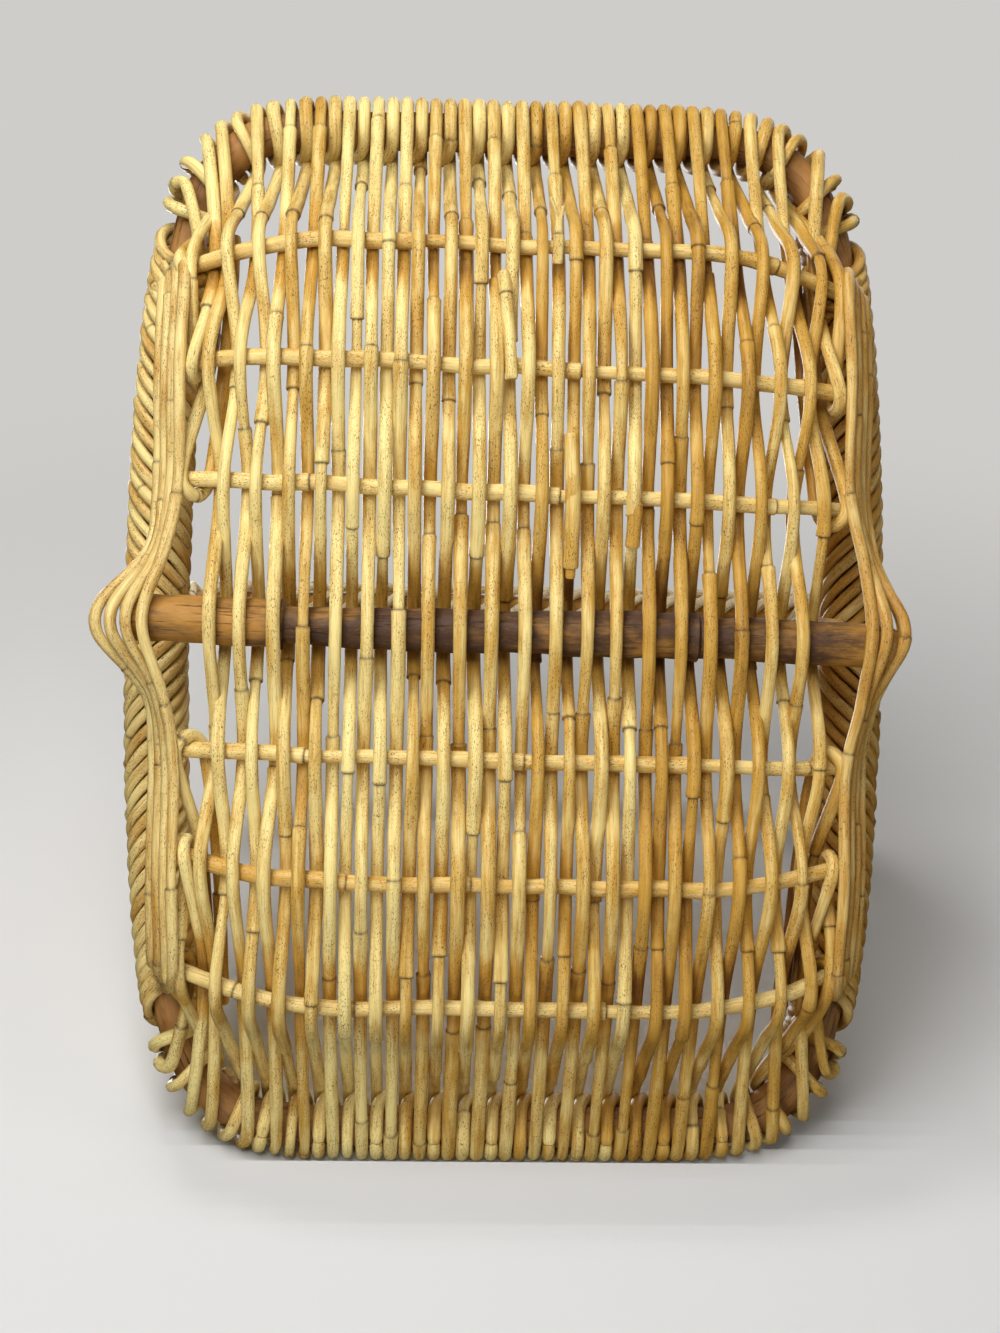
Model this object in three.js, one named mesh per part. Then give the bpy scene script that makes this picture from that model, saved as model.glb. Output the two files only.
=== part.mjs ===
// A shallow oblong gathering basket of peeled cane on a frame of sticks.
// The origin is under the middle of the base. +X runs along the length, +Y across
// the width and +Z up, towards the bow handle. All sizes are in millimetres.
import * as THREE from 'three';

// Driving sizes of the frame
const rimLength = 542; // between the middles of the two end bars of the rim
const rimWidth = 380; // between the middles of the two side bars of the rim
const rimSquareness = 8; // power of the rounded oblong: higher has tighter corners
const sideBow = 18; // the side bars bulge by this much between the corners
const rimDiameter = 22;
const rimRise = 105; // middle of the rim above the surface that the basket stands on
const rimJointGap = 0.5; // where the two ends of the bent rim stick meet
const stickLength = 392; // the thick unpeeled stick across the middle of the base
const stickDiameter = 24;
const ribDiameter = 8.5;
const ribStations = [68, 132, 197]; // ribs lie this far from the stick, both ways
const endRibRise = 17; // how far the outermost ribs lie above the others
const endRibTilt = THREE.MathUtils.degToRad(30); // slope of the weave over those ribs
const ribTipInset = 18; // rib tips stop this far inside the middle of the side bars
const ribTipLift = 20; // how far the rib tips curve up
const ribFlatHalf = 86; // ribs lie flat for this far each side of the middle
const tipSweeps = { near: [0, 4, 16], far: [0, 12, 18] }; // tips sweep to the middle, on the +X and -X side

// Driving sizes of the weave
const caneDiameter = 7; // canes of the base
const weavePitchLeast = 7.7; // least distance between neighbouring passes
const passesPerCane = 4; // lengths of the base that one cane makes before it ends
const tipMargin = 17; // the outermost pass lies this far in from the rib tips
const loopShare = 0.98; // pitch of the loops on the end bars for one of pitch in the base
const fanShare = 0.85; // loops at the corners fan out by this share of the bar's turn
const cornerTurn = 0.06; // where an end bar faces sideways by more than this share, it is a corner
const crossingShare = 0.38; // an inner pass crosses its neighbours this far from rib to rim
const crossingPush = 1.01; // and keeps this many pitches clear of them

// Driving sizes of the sides
const sideCaneDiameter = 5.6;
const sideCaneCount = 4; // canes that go round each end of the stick
const wrapCaneDiameter = 5.6; // canes wound round the side bars
const wrapStarts = 9;
const wrapTurnLength = 84;

// Driving sizes of the handle
const bowDiameter = 14; // the bent stick inside the handle
const handleTop = 331; // middle of the bow at its highest place
const handleWidest = 412; // between the middles of the bow where it is widest
const handleWidestHeight = 212;
const handleCaneDiameter = 5.6;
const handleStarts = 4;
const handleTurnLength = 88;
const handleLean = 20; // the top of the bow leans towards +X by this
const footLean = 6; // the feet stand this much further out than where they pass the rim

const gap = 0.3; // between pieces that touch

// Facets
const caneSides = 4;
const sideSides = 6;
const hoopSides = 8;
const stickSides = 10;
const ribSides = 6;
const bowSides = 8;
const turnStep = 60; // degrees between the rings of a turn
const hoopQuarterSteps = 20;
const quarterSamples = 400;
const ribBends = 4;
const bowSteps = 30;

// Sizes that follow from those above
const rimHalfLength = rimLength / 2;
const rimHalfWidth = rimWidth / 2;
const rimRadius = rimDiameter / 2;
const stickRadius = stickDiameter / 2;
const ribRadius = ribDiameter / 2;
const caneRadius = caneDiameter / 2;
const sideRadius = sideCaneDiameter / 2;
const wrapRadius = wrapCaneDiameter / 2;
const bowRadius = bowDiameter / 2;
const handleCaneRadius = handleCaneDiameter / 2;
const caneFlat = flatHalf(caneRadius, caneSides);
const sideFlat = flatHalf(sideRadius, sideSides);
const wrapFlat = flatHalf(wrapRadius, caneSides);
const handleFlat = flatHalf(handleCaneRadius, caneSides);
const chordGrowth = 1 / Math.cos(THREE.MathUtils.degToRad(turnStep / 2));
const ribTip = rimHalfWidth - ribTipInset;
const weaveHalfWidth = ribTip - tipMargin;
const passCount = passesPerCane * Math.floor((2 * weaveHalfWidth / weavePitchLeast + 1) / passesPerCane);
const weavePitch = 2 * weaveHalfWidth / (passCount - 1);
const loopPitch = weavePitch * loopShare;
const stickHeight = 2 * caneFlat + gap + stickRadius;
const ribHeight = 2 * caneFlat + gap + ribRadius;
const ribOffset = ribRadius + caneFlat + gap;
const stickOffset = stickRadius + caneFlat + gap;
const loopRadius = (rimRadius + caneFlat + gap) * chordGrowth;
const wrapPathRadius = (rimRadius + wrapFlat + 2.5 * gap) * chordGrowth;
const wrapReach = wrapPathRadius + cornerRadius(wrapRadius, caneSides);
const handlePathRadius = (bowRadius + handleFlat + 2 * gap) * chordGrowth;

const up = new THREE.Vector3(0, 0, 1);

// A path given by its own rings. Each ring has a middle and a direction that
// points away from what the cane is bent over, so that a flat side faces out.
class RingPath extends THREE.Curve {
  constructor(rings) {
    super();
    this.rings = rings;
  }

  getSpacedPoints() {
    return this.rings.map((ring) => ring.middle);
  }

  computeFrenetFrames() {
    const tangents = [];
    const normals = [];
    const binormals = [];
    this.rings.forEach((ring, i) => {
      const before = this.rings[Math.max(i - 1, 0)].middle;
      const after = this.rings[Math.min(i + 1, this.rings.length - 1)].middle;
      const arriving = ring.middle.clone().sub(before).normalize();
      const leaving = after.clone().sub(ring.middle).normalize();
      const tangent = arriving.add(leaving).normalize();
      const normal = ring.out.clone().addScaledVector(tangent, -ring.out.dot(tangent)).normalize();
      tangents.push(tangent);
      normals.push(normal);
      binormals.push(tangent.clone().cross(normal));
    });
    return { tangents, normals, binormals };
  }
}

// A section with flat sides that has the area of a round one of this radius
function cornerRadius(radius, sides) {
  return radius * Math.sqrt(2 * Math.PI / (sides * Math.sin(2 * Math.PI / sides)));
}

// From the middle of such a section to the middle of a side
function flatHalf(radius, sides) {
  return cornerRadius(radius, sides) * Math.cos(Math.PI / sides);
}

// From the middle to a corner, where the sides are the radius away
function acrossFlats(radius, sides) {
  return radius / Math.cos(Math.PI / sides);
}

function polygon(radius, sides) {
  const corners = [];
  for (let i = 0; i < sides; i += 1) {
    const angle = (i + 0.5) * 2 * Math.PI / sides;
    corners.push(new THREE.Vector2(radius * Math.cos(angle), radius * Math.sin(angle)));
  }
  return new THREE.Shape(corners);
}

function rod(rings, radius, sides) {
  return new THREE.ExtrudeGeometry(polygon(radius, sides), {
    steps: rings.length - 1,
    extrudePath: new RingPath(rings),
    bevelEnabled: false,
  });
}

function point(x, y, z) {
  return new THREE.Vector3(x, y, z);
}

// The rim is a rounded oblong with bulging sides. The turn goes from 0 at the middle
// of an end bar to a quarter turn at the middle of a side bar.
function rimPlace(turn) {
  const power = rimSquareness;
  const x = rimHalfLength * Math.cos(turn) ** (2 / power);
  const share = Math.sin(turn) ** (2 / power);
  const halfWidth = rimHalfWidth - sideBow * (x / rimHalfLength) ** 2;
  const bulge = 2 * sideBow * x / rimHalfLength ** 2;
  const normal = new THREE.Vector2(
    (x / rimHalfLength) ** (power - 1) / rimHalfLength + share ** power * bulge / halfWidth,
    share ** (power - 1) / halfWidth,
  ).normalize();
  return { x, y: halfWidth * share, normal };
}

// Places along a quarter of the rim, by the distance travelled from the middle of
// the end bar along a line that lies inside the rim by the given inset
function rimQuarter(inset) {
  const stops = [];
  let travelled = 0;
  let last = null;
  for (let i = 0; i <= quarterSamples; i += 1) {
    const stop = rimPlace(i / quarterSamples * Math.PI / 2);
    const inner = new THREE.Vector2(stop.x, stop.y).addScaledVector(stop.normal, -inset);
    travelled += last ? inner.distanceTo(last) : 0;
    last = inner;
    stops.push({ ...stop, travelled });
  }
  return stops;
}

// Where the rim is at a distance from the middle of an end bar
function placeOnRim(quarter, distance) {
  let i = 1;
  while (i < quarter.length - 1 && quarter[i].travelled < distance) {
    i += 1;
  }
  const from = quarter[i - 1];
  const to = quarter[i];
  const share = Math.min(Math.max((distance - from.travelled) / (to.travelled - from.travelled), 0), 1);
  return {
    x: THREE.MathUtils.lerp(from.x, to.x, share),
    y: THREE.MathUtils.lerp(from.y, to.y, share),
    normal: from.normal.clone().lerp(to.normal, share).normalize(),
  };
}

const middleLine = rimQuarter(0);
const innerLine = rimQuarter(rimRadius + caneRadius);
const quarterLength = middleLine[middleLine.length - 1].travelled;

// The same place on any of the four quarters, as a frame in space
function rimFrame(quarter, distance, xSide, ySide) {
  const place = placeOnRim(quarter, distance);
  return {
    middle: point(xSide * place.x, ySide * place.y, rimRise),
    outward: point(xSide * place.normal.x, ySide * place.normal.y, 0),
  };
}

// A ring at an angle round a bar: 0 degrees is outward and 90 is the top. A loop
// that goes round the bar aslant lies in the plane of its own heading.
function ringRound(frame, radius, degrees) {
  const angle = THREE.MathUtils.degToRad(degrees);
  const out = frame.outward.clone().multiplyScalar(Math.cos(angle)).addScaledVector(up, Math.sin(angle));
  const heading = frame.heading ?? frame.outward;
  const reach = radius * Math.cos(angle) / heading.dot(frame.outward);
  const middle = frame.middle.clone().addScaledVector(heading, reach).addScaledVector(up, radius * Math.sin(angle));
  return { middle, out };
}

// Frame: the rim, the stick and the ribs

function makeRimHoop() {
  const quarter = Array.from({ length: hoopQuarterSteps + 1 }, (_, i) => {
    return rimFrame(middleLine, quarterLength * i / hoopQuarterSteps, 1, 1);
  });
  const turned = (frame, xSide, ySide) => ({
    middle: point(xSide * frame.middle.x, ySide * frame.middle.y, rimRise),
    out: point(xSide * frame.outward.x, ySide * frame.outward.y, 0),
  });
  const inward = [...quarter].reverse();
  const rings = [
    ...inward.map((frame) => turned(frame, -1, 1)),
    ...quarter.slice(1).map((frame) => turned(frame, -1, -1)),
    ...inward.slice(1).map((frame) => turned(frame, 1, -1)),
    ...quarter.slice(1).map((frame) => turned(frame, 1, 1)),
  ];
  // The two ends of the stick meet at the middle of one side bar
  rings[0].middle.x = -rimJointGap / 2;
  rings[rings.length - 1].middle.x = rimJointGap / 2;
  return rod(rings, rimRadius, hoopSides);
}

function makeCentreStick() {
  const rings = [-1, 1].map((side) => ({ middle: point(0, side * stickLength / 2, stickHeight), out: up }));
  return rod(rings, acrossFlats(stickRadius, stickSides), stickSides);
}

// Ribs are straight between these places, and lie flat inside the first of them
const ribStops = Array.from({ length: ribBends + 1 }, (_, i) => {
  const share = i / ribBends;
  return { y: ribFlatHalf + share * (ribTip - ribFlatHalf), rise: ribTipLift * share ** 2 };
});

// How far a rib has curved up at a place across the basket, and how steeply
function ribLift(y) {
  const reach = Math.abs(y);
  if (reach <= ribFlatHalf) {
    return { rise: 0, slope: 0 };
  }
  const i = Math.min(Math.ceil((reach - ribFlatHalf) / (ribTip - ribFlatHalf) * ribBends), ribBends);
  const from = ribStops[i - 1];
  const to = ribStops[i];
  const slope = (to.rise - from.rise) / (to.y - from.y);
  return { rise: from.rise + slope * (reach - from.y), slope: Math.sign(y) * slope };
}

// How far the tips of a rib sweep towards the middle of the basket
function tipSweep(station) {
  const sweeps = station > 0 ? tipSweeps.near : tipSweeps.far;
  return sweeps[ribStations.indexOf(Math.abs(station))];
}

// The middle of a rib at a place across the basket, and the way it runs there
function ribPlace(station, y) {
  const side = Math.sign(station);
  const isEnd = Math.abs(station) === ribStations[ribStations.length - 1];
  const lift = ribLift(y);
  const sweep = side * tipSweep(station) / ribTipLift;
  const middle = point(station - sweep * lift.rise, y, ribHeight + lift.rise + (isEnd ? endRibRise : 0));
  return { middle, run: point(-sweep * lift.slope, 1, lift.slope), isEnd, side };
}

function makeRib(station) {
  const half = ribStops.map((stop) => stop.y);
  const rings = [...half.map((y) => -y).reverse(), ...half].map((y) => {
    const place = ribPlace(station, y);
    return { middle: place.middle, out: weaveFrame(place).square };
  });
  return rod(rings, acrossFlats(ribRadius, ribSides), ribSides);
}

// Weave of the base. Passes run lengthwise and go under and over the ribs and the
// stick by turns. Each end bar takes one and a half turns of cane between two passes.

function passY(pass) {
  return (pass - (passCount - 1) / 2) * weavePitch;
}

// The loops on an end bar. At the corners they fan out less than the bar turns.
function loopFrame(pass, xSide) {
  const distance = (pass - (passCount - 1) / 2) * loopPitch;
  const frame = rimFrame(innerLine, Math.abs(distance), xSide, Math.sign(distance));
  const turned = Math.asin(frame.outward.y) * fanShare;
  return { ...frame, heading: point(xSide * Math.cos(turned), Math.sin(turned), 0) };
}

function shifted(middle, direction, distance, out) {
  return { middle: middle.clone().addScaledVector(direction, distance), out };
}

// Directions at a rib. The weave turns up to the rim over the outermost ribs, so
// there both lean: along is the way the canes run and square is across the weave.
function weaveFrame(place) {
  const lean = place.isEnd ? endRibTilt : 0;
  const along = point(Math.cos(lean), 0, place.side * Math.sin(lean));
  const rise = point(-place.side * Math.sin(lean), 0, Math.cos(lean));
  const square = along.clone().cross(place.run).normalize();
  return { along, square, rise: rise.divideScalar(rise.dot(square)) };
}

// The rings of one pass at one rib. Over is 1 above the rib and -1 under it. A cane
// that only grazes the top of a rib bends at one place, and any other at two.
function ringsAtRib(station, y, over, outSide) {
  const place = ribPlace(station, y);
  const frame = weaveFrame(place);
  const out = frame.square.clone().multiplyScalar(outSide);
  const isSteep = Math.abs(station) === ribStations[0] && place.run.z !== 0;
  const grazes = over > 0 && !isSteep;
  const skew = caneFlat * Math.abs(frame.along.dot(place.run));
  const lift = grazes ? 2.8 * gap + skew / 3 : Math.min((place.middle.z - ribHeight) / 3, gap) + skew / 6;
  const middle = shifted(place.middle, frame.rise, over * (ribOffset + lift), out).middle;
  if (grazes) {
    return [{ middle, out }];
  }
  const half = ribRadius * (place.isEnd ? 1.1 : 0.75) + skew;
  return [-1, 1].map((side) => shifted(middle, frame.along, side * half, out));
}

function ringsAtStick(y, over, outSide) {
  const out = up.clone().multiplyScalar(outSide);
  const middle = point(0, y, stickHeight + over * stickOffset);
  return [-1, 1].map((side) => shifted(middle, point(1, 0, 0), side * stickRadius * 0.6, out));
}

// All rings of one pass, from the -X end to the +X end
function passRings(pass) {
  const y = passY(pass);
  const goesOut = pass % 2 === 0;
  const outSide = goesOut ? -1 : 1;
  const members = [...ribStations.map((x) => -x).reverse(), 0, ...ribStations];
  const rings = [];
  members.forEach((x, i) => {
    const over = (i % 2 === 0) === goesOut ? 1 : -1;
    rings.push(...(x === 0 ? ringsAtStick(y, over, outSide) : ringsAtRib(x, y, over, outSide)));
  });
  if (!goesOut) {
    rings.unshift(crossingRing(pass, -1, rings[0]));
    rings.push(crossingRing(pass, 1, rings[rings.length - 1]));
  }
  return goesOut ? rings : rings.reverse();
}

// Where an outer pass is across the basket, on its way from the last rib to the rim
function outerPassY(pass, xSide, x) {
  const atRib = ringsAtRib(xSide * ribStations[2], passY(pass), 1, -1)[0].middle;
  const atRim = ringRound(loopFrame(pass, xSide), loopRadius, -50).middle;
  return THREE.MathUtils.mapLinear(x, atRib.x, atRim.x, atRib.y, atRim.y);
}

// Between the last rib and the rim an inner pass crosses the outer passes beside it.
// Near the corners those fan out, and the inner pass is pushed out with them.
function crossingRing(pass, xSide, nearRib) {
  const ySide = Math.sign(passY(pass));
  const target = ringRound(loopFrame(pass, xSide), loopRadius, 130).middle;
  const middle = nearRib.middle.clone().lerp(target, crossingShare);
  const pushed = outerPassY(pass - ySide, xSide, middle.x) + ySide * weavePitch * crossingPush;
  middle.y = ySide * Math.max(ySide * middle.y, ySide * pushed);
  return { middle, out: up.clone() };
}

// From an outer pass round an end bar to the inner pass beside it, in one and a half
// turns. The cane moves over to its next place underneath the bar. At the corners
// there is only room for half a turn, and the bar shows between the loops.
function turnRings(outerPass, step, xSide) {
  const outer = loopFrame(outerPass, xSide);
  const isAtCorner = Math.abs(loopFrame(outerPass + step / 2, xSide).outward.y) > cornerTurn;
  const moves = isAtCorner
    ? [[0, [-50, 10, 60]], [0.5, [95]], [1, [130, 150]]]
    : [[0, [-50, 10, 70, 130, 190]], [0.9, [250]], [1, [310, 370, 430, 490]]];
  return moves.flatMap(([moved, angles]) => {
    const frame = moved === 0 ? outer : loopFrame(outerPass + moved * step, xSide);
    return angles.map((angle) => ringRound(frame, loopRadius, angle));
  });
}

// Where one cane ends on the rim and the next one starts, end to end
function splitTurn(rings) {
  const cut = Math.ceil(rings.length * 0.6);
  const before = rings[cut - 1];
  const after = rings[cut];
  const share = gap / before.middle.distanceTo(after.middle);
  const ends = [0.5 - share, 0.5 + share].map((part) => ({
    middle: before.middle.clone().lerp(after.middle, part),
    out: before.out.clone().add(after.out).normalize(),
  }));
  return { outer: [...rings.slice(0, cut), ends[0]], inner: [ends[1], ...rings.slice(cut)] };
}

// The very first and the very last end are tucked round the bar in their own place
function tuckedRings(pass, angles) {
  return angles.map((angle) => ringRound(loopFrame(pass, -1), loopRadius, angle));
}

function makeBaseCane(cane) {
  const first = cane * passesPerCane;
  const last = first + passesPerCane - 1;
  const rings = first === 0
    ? tuckedRings(first, [230, 190, 130, 70, 10, -50])
    : splitTurn(turnRings(first, -1, -1)).outer.reverse();
  for (let pass = first; pass <= last; pass += 1) {
    rings.push(...passRings(pass));
    if (pass % 2 === 0) {
      rings.push(...turnRings(pass, 1, 1));
    } else if (pass < last) {
      rings.push(...turnRings(pass + 1, -1, -1).reverse());
    }
  }
  const end = last === passCount - 1
    ? tuckedRings(last, [160, 130, 70, 10, -50, -90])
    : splitTurn(turnRings(last + 1, -1, -1)).inner.reverse();
  return rod([...rings, ...end], cornerRadius(caneRadius, caneSides), caneSides);
}

// Sides. A flat band of canes runs along each side below the rim, round the rib
// tips, and spreads over the end of the stick.

function bandStops(xSide, ySide) {
  const spread = 2 * cornerRadius(sideRadius, sideSides) + 1.5 * gap;
  const tipSlope = ribLift(ribTip).slope * Math.hypot(1, Math.max(...tipSweeps.near, ...tipSweeps.far) / ribTipLift);
  const tipY = ribTip + acrossFlats(ribRadius, ribSides) * Math.sin(Math.atan(tipSlope)) + sideFlat + gap;
  const tipHeight = ribHeight + ribTipLift;
  const half = (sideCaneCount - 1) / 2;
  const rimUnder = rimRise - wrapReach - sideRadius - 2 * gap - half * spread;
  const stickUnder = stickHeight - stickRadius - cornerRadius(sideRadius, sideSides) - gap;
  const overEnd = stickLength / 2 + sideFlat + gap;
  const wall = [
    point((stickRadius + ribStations[0]) / 2, (overEnd + tipY) / 2, (stickUnder + tipHeight + spread) / 2),
    point(ribStations[0], tipY, tipHeight),
    point(ribStations[1] - tipSweep(xSide * ribStations[1]), tipY, tipHeight),
    point(ribStations[2] - tipSweep(xSide * ribStations[2]), tipY, tipHeight + endRibRise),
    point(ribStations[2] + 32, tipY, rimUnder),
  ];
  return Array.from({ length: sideCaneCount }, (_, i) => {
    const along = (i - half) * spread;
    const steps = i - sideCaneCount / 2;
    const atStick = i < sideCaneCount / 2
      ? point(0, overEnd + steps * spread - sideRadius, stickUnder)
      : point(0, overEnd, stickUnder + (steps + 1) * spread);
    atStick.x = stickRadius * 1.1;
    // Each cane keeps its distance from the middle line of the band at the bends
    const stops = wall.map((middle, j) => {
      const before = wall[Math.max(j - 1, 0)];
      const after = wall[Math.min(j + 1, wall.length - 1)];
      const run = new THREE.Vector2(after.x - before.x, after.z - before.z).normalize();
      const across = j === 0 ? point(0, Math.SQRT1_2, Math.SQRT1_2) : point(-run.y, 0, run.x);
      return middle.clone().addScaledVector(across, along * 1.03);
    });
    return [atStick, ...stops].map((stop) => point(xSide * stop.x, ySide * stop.y, stop.z));
  });
}

function makeSideCane(index, ySide) {
  const outward = point(0, ySide, 0);
  const stops = [...bandStops(-1, ySide)[index].reverse(), ...bandStops(1, ySide)[index]];
  const rings = stops.map((middle) => ({ middle, out: outward }));
  return rod(rings, cornerRadius(sideRadius, sideSides), sideSides);
}

// Canes wound side by side round a side bar. They change hand at its middle.
function makeSideWrap(start, ySide) {
  const loopsEnd = (passCount + 1) / 2 * loopPitch;
  const corner = placeOnRim(innerLine, loopsEnd);
  const cornerStop = middleLine.find((stop) => stop.x <= corner.x).travelled;
  const reach = quarterLength - cornerStop - caneRadius - wrapRadius - 3 * gap;
  const perStep = wrapTurnLength * turnStep / 360;
  const steps = Math.floor(reach / perStep);
  const rings = [];
  for (let i = -steps; i <= steps; i += 1) {
    const along = i * perStep;
    const frame = rimFrame(middleLine, quarterLength - Math.abs(along), Math.sign(along) || 1, ySide);
    rings.push(ringRound(frame, wrapPathRadius, start * 360 / wrapStarts + Math.abs(i) * turnStep));
  }
  return rod(rings, cornerRadius(wrapRadius, caneSides), caneSides);
}

// Handle. The bow rises from the stick inside the rim, leans out over it and arches
// across the basket.

function handleLine() {
  const insideRim = rimHalfWidth - wrapReach - bowRadius - gap;
  const clear = wrapReach + handlePathRadius + handleFlat + gap;
  const foot = stickHeight + stickRadius + gap;
  const half = [
    [insideRim + footLean, foot],
    [insideRim, rimRise],
    [rimHalfWidth - clear * 0.5, rimRise + clear * 0.9],
    [handleWidest * 0.49, THREE.MathUtils.lerp(rimRise, handleWidestHeight, 0.64)],
    [handleWidest * 0.5, handleWidestHeight],
    [handleWidest * 0.45, THREE.MathUtils.lerp(handleWidestHeight, handleTop, 0.55)],
    [handleWidest * 0.32, THREE.MathUtils.lerp(handleWidestHeight, handleTop, 0.87)],
    [handleWidest * 0.16, THREE.MathUtils.lerp(handleWidestHeight, handleTop, 0.975)],
  ];
  const other = half.map(([y, z]) => [-y, z]).reverse();
  const stops = [...half, [0, handleTop], ...other].map(([y, z]) => {
    return point(handleLean * (z - foot) / (handleTop - foot), y, z);
  });
  return new THREE.CatmullRomCurve3(stops, false, 'centripetal');
}

const handleCurve = handleLine();
const handleCurveLength = handleCurve.getLength();

function makeHandleBow() {
  const rings = [];
  for (let i = 0; i <= bowSteps; i += 1) {
    rings.push({ middle: handleCurve.getPointAt(i / bowSteps), out: point(1, 0, 0) });
  }
  // The feet are cut to stand clear of the stick although they lean
  const lean = Math.abs(rings[1].middle.y - rings[0].middle.y) / (rings[1].middle.z - rings[0].middle.z);
  rings[0].middle.z += bowRadius * lean;
  rings[bowSteps].middle.z += bowRadius * lean;
  return rod(rings, bowRadius, bowSides);
}

function makeHandleWrap(start) {
  const perStep = handleTurnLength * turnStep / 360;
  const clearHeight = rimRise + wrapReach + handlePathRadius;
  const steps = Math.floor((handleCurveLength / 2 - clearHeight + stickHeight) / perStep);
  const rings = [];
  for (let i = -steps; i <= steps; i += 1) {
    const share = 0.5 + i * perStep / handleCurveLength;
    const tangent = handleCurve.getTangentAt(share);
    const angle = THREE.MathUtils.degToRad(start * 360 / handleStarts + i * turnStep);
    const side = tangent.clone().cross(point(1, 0, 0)).normalize();
    const front = side.clone().cross(tangent);
    const out = side.multiplyScalar(Math.cos(angle)).addScaledVector(front, Math.sin(angle));
    rings.push({ middle: handleCurve.getPointAt(share).addScaledVector(out, handlePathRadius), out });
  }
  return rod(rings, cornerRadius(handleCaneRadius, caneSides), caneSides);
}

// Materials

function material(color, roughness) {
  return new THREE.MeshStandardMaterial({ color, roughness, metalness: 0 });
}

const basket = new THREE.Group();

function place(name, geometry, color, roughness) {
  const mesh = new THREE.Mesh(geometry, material(color, roughness));
  mesh.name = name;
  basket.add(mesh);
}

place('rim_hoop', makeRimHoop(), 0x9a6534, 0.75);
place('centre_stick', makeCentreStick(), 0x6e3d20, 0.7);
[...ribStations.map((x) => -x).reverse(), ...ribStations].forEach((station, i) => {
  place(`rib_${i + 1}`, makeRib(station), 0xe3c88a, 0.6);
});
for (let cane = 0; cane < passCount / passesPerCane; cane += 1) {
  place(`base_cane_${cane + 1}`, makeBaseCane(cane), 0xd9b56c, 0.55);
}
[['left', -1], ['right', 1]].forEach(([side, ySide]) => {
  for (let i = 0; i < sideCaneCount; i += 1) {
    place(`side_cane_${side}_${i + 1}`, makeSideCane(i, ySide), 0xd3a861, 0.55);
  }
  for (let start = 0; start < wrapStarts; start += 1) {
    place(`rim_wrap_${side}_${start + 1}`, makeSideWrap(start, ySide), 0xcf9f58, 0.55);
  }
});
place('handle_bow', makeHandleBow(), 0xc79a5c, 0.7);
for (let start = 0; start < handleStarts; start += 1) {
  place(`handle_wrap_${start + 1}`, makeHandleWrap(start), 0xe6d3a0, 0.55);
}

export default basket;
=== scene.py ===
# %% [markdown]
# # A basket for gathering flowers
#
# The real basket is a shallow oblong tray. A thick stick is bent into an oblong rim,
# and another thick stick lies across the middle of the base. Six thin peeled ribs lie
# beside that stick, and peeled canes are woven lengthwise through them. Each cane
# goes round an end bar of the rim and comes back, so the weave and the two end bars
# are one continuous winding. Thinner canes are wound along the side bars and up the
# tall bow of the handle.
#
# The solid model already gives each of these pieces its place. Here each one gets
# its true surface: round canes that bend softly, with their knuckles, cut ends,
# colours and grain. All of them are long thin rods on a curved path, so one helper
# that rolls up a rod along a path makes nearly everything.

# %% Open the frame
import math
import random

import bmesh
import bpy
import numpy as np
from mathutils import Matrix, Vector, noise


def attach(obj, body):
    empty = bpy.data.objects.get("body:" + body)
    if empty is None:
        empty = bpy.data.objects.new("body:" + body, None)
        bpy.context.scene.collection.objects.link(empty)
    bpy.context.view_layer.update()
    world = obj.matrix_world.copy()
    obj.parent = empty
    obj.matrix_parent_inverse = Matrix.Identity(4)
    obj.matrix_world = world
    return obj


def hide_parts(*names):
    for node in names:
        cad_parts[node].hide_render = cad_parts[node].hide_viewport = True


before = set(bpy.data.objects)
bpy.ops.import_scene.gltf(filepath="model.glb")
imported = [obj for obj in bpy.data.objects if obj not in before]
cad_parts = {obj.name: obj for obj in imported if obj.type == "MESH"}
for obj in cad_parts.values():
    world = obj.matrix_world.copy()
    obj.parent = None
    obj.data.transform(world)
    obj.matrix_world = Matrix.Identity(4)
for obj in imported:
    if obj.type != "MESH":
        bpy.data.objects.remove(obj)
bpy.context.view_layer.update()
print("pieces in the frame:", len(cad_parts))

# %% [markdown]
# ## The sizes of the basket
#
# All paths are worked out in millimetres, in the same frame as the solids: X along
# the basket, Y across it and Z up. A rod is turned into metres at the moment when its
# mesh is made. The weave has forty passes side by side, and one cane makes four of
# them before the next cane takes over.

# %% Sizes in millimetres
MM = 0.001
RIM_LENGTH, RIM_WIDTH, RIM_POWER, SIDE_BOW = 542, 380, 8, 18
RIM_RADIUS, RIM_RISE = 11, 105
STICK_LENGTH, STICK_RADIUS, STICK_HEIGHT = 392, 12, 20.2
RIB_RADIUS, RIB_HEIGHT = 4.25, 12.4
FIRST_RIB, SECOND_RIB, END_RIB = 68, 132, 197
RIB_STATIONS = [-END_RIB, -SECOND_RIB, -FIRST_RIB, FIRST_RIB, SECOND_RIB, END_RIB]
RIB_SWEEPS = dict(zip(RIB_STATIONS, (18, 12, 0, 0, 4, 16)))
RIB_SKEWS = dict(zip(RIB_STATIONS, (0, 2, 2, 5, 5, 3)))
STICK_SKEW = 4
RIB_TIP, RIB_FLAT, RIB_LIFT = 172, 86, 20
END_RIB_RISE, END_RIB_TILT = 17, math.radians(30)
PASSES, PASSES_PER_CANE, WEAVE_HALF = 40, 4, 155
PITCH = 2 * WEAVE_HALF / (PASSES - 1)
LOOP_PITCH, CROSSING_PITCH, CROSSING_SHARE = PITCH * 0.98, PITCH * 0.97, 0.38
LOOP_START, LOOP_END, FAN_START, FAN_GROWTH = -50, 130, 110, 0.004
CANE, SHORT_CANE, SIDE_CANE, WRAP_CANE, HANDLE_CANE = 7.7, 7.4, 6.6, 6.6, 6.3
SIDE_CANES, SIDE_LOOP_PITCH = 4, 6.7
WRAP_STARTS, WRAP_TURN = 9, 84
HANDLE_STARTS, HANDLE_TURN = 4, 88
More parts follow.
